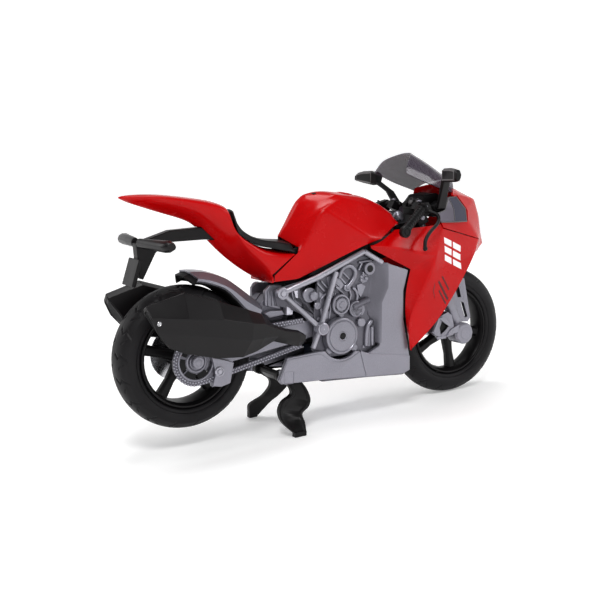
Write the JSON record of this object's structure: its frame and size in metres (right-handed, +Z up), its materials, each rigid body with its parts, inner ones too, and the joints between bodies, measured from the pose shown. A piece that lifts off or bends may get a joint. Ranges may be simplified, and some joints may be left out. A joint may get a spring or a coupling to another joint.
{
  "type": "rc motorcycle",
  "caption": "Radio-controlled sports motorcycle in red and silver plastic on a folding centre stand, with turning wheels, steering fork, trellis flanks and two faceted silencers.",
  "frame": {"origin": "centre of the bounding box on the ground, between the tyres", "axes": "+X towards the front wheel, +Y to the bike's left, +Z up"},
  "size_m": [0.3522, 0.1426, 0.2062],
  "materials": {
    "red_gloss_plastic": "gloss",
    "silver_plastic": "satin silver",
    "black_plastic": "satin",
    "dark_grey_plastic": "satin",
    "tyre_rubber": "matt",
    "smoked_plastic": "gloss, see-through smoke",
    "clear_lens": "gloss, clear",
    "steel": "satin",
    "battery_wrap": "satin wrap",
    "board_green": "satin"
  },
  "bodies": {
    "chassis": {"swingarm_right": "silver_plastic", "swingarm_left": "silver_plastic", "rear_axle": "silver_plastic", "pivot_bolt": "silver_plastic", "drive_chain": "silver_plastic", "drive_motor": "steel", "drive_belt": "black_plastic", "engine_shell_right": "silver_plastic", "engine_shell_left": "silver_plastic", "clutch_cover": "silver_plastic", "alternator_cover": "silver_plastic", "frame_rail_right": "silver_plastic", "frame_rail_left": "silver_plastic", "belly_panel_right": "silver_plastic", "belly_panel_left": "silver_plastic", "battery_door": "silver_plastic", "battery_pack": "battery_wrap", "receiver_board": "board_green", "steering_servo": "black_plastic", "tank_cover": "red_gloss_plastic", "fuel_cap": "red_gloss_plastic", "seat_pad": "black_plastic", "tail_cowl": "red_gloss_plastic", "tail_bracket": "black_plastic", "turn_signal_right": "dark_grey_plastic", "turn_signal_left": "dark_grey_plastic", "rear_hugger": "silver_plastic", "muffler_right": "dark_grey_plastic", "muffler_left": "dark_grey_plastic", "fairing_right": "red_gloss_plastic", "fairing_left": "red_gloss_plastic", "nose_cowl": "red_gloss_plastic", "headlight_lens": "clear_lens", "side_window_right": "smoked_plastic", "side_window_left": "smoked_plastic", "windshield": "smoked_plastic", "dashboard": "black_plastic", "mirror_right": "black_plastic", "mirror_left": "black_plastic", "headstock": "black_plastic"},
    "rear_wheel": {"rear_tyre": "tyre_rubber", "rear_rim": "black_plastic", "rear_brake_disc": "steel", "wheel_pulley": "black_plastic"},
    "motor_rotor": {"motor_pulley": "black_plastic"},
    "steering": {"fork_leg_right": "silver_plastic", "fork_leg_left": "silver_plastic", "brake_caliper_right": "silver_plastic", "brake_caliper_left": "silver_plastic", "fork_yoke": "black_plastic", "handlebar_right": "black_plastic", "handlebar_left": "black_plastic", "front_axle": "silver_plastic"},
    "front_wheel": {"front_tyre": "tyre_rubber", "front_rim": "black_plastic"},
    "centre_stand": {"stand_leg_right": "black_plastic", "stand_leg_left": "black_plastic", "stand_pin": "black_plastic"},
    "switch_knob": {"power_switch": "black_plastic"}
  },
  "joints": [
    {"name": "rear_wheel_spin", "type": "hinge", "parent": "chassis", "child": "rear_wheel", "pos_m": [-0.12268, 0, 0.06835], "axis": [0, 1, 0], "continuous": true},
    {"name": "motor_spin", "type": "hinge", "parent": "chassis", "child": "motor_rotor", "pos_m": [0.00234, 0, 0.08132], "axis": [0, 1, 0], "continuous": true},
    {"name": "steering_turn", "type": "hinge", "parent": "chassis", "child": "steering", "pos_m": [0.1171, 0, 0.0513], "axis": [-0.3671, 0, 0.9302], "range_deg": [-10, 10]},
    {"name": "front_wheel_spin", "type": "hinge", "parent": "steering", "child": "front_wheel", "pos_m": [0.12268, 0, 0.0535], "axis": [0, 1, 0], "continuous": true},
    {"name": "stand_fold", "type": "hinge", "parent": "chassis", "child": "centre_stand", "pos_m": [-0.04999, 0, 0.04441], "axis": [0, 1, 0], "range_deg": [0, 75]},
    {"name": "power_switch_slide", "type": "slide", "parent": "chassis", "child": "switch_knob", "axis": [0.9982, 0, -0.0604], "range_m": [0, 0.004]}
  ],
  "couplings": [
    {"joint": "motor_spin", "follows": "rear_wheel_spin", "ratio": 1.7767}
  ]
}
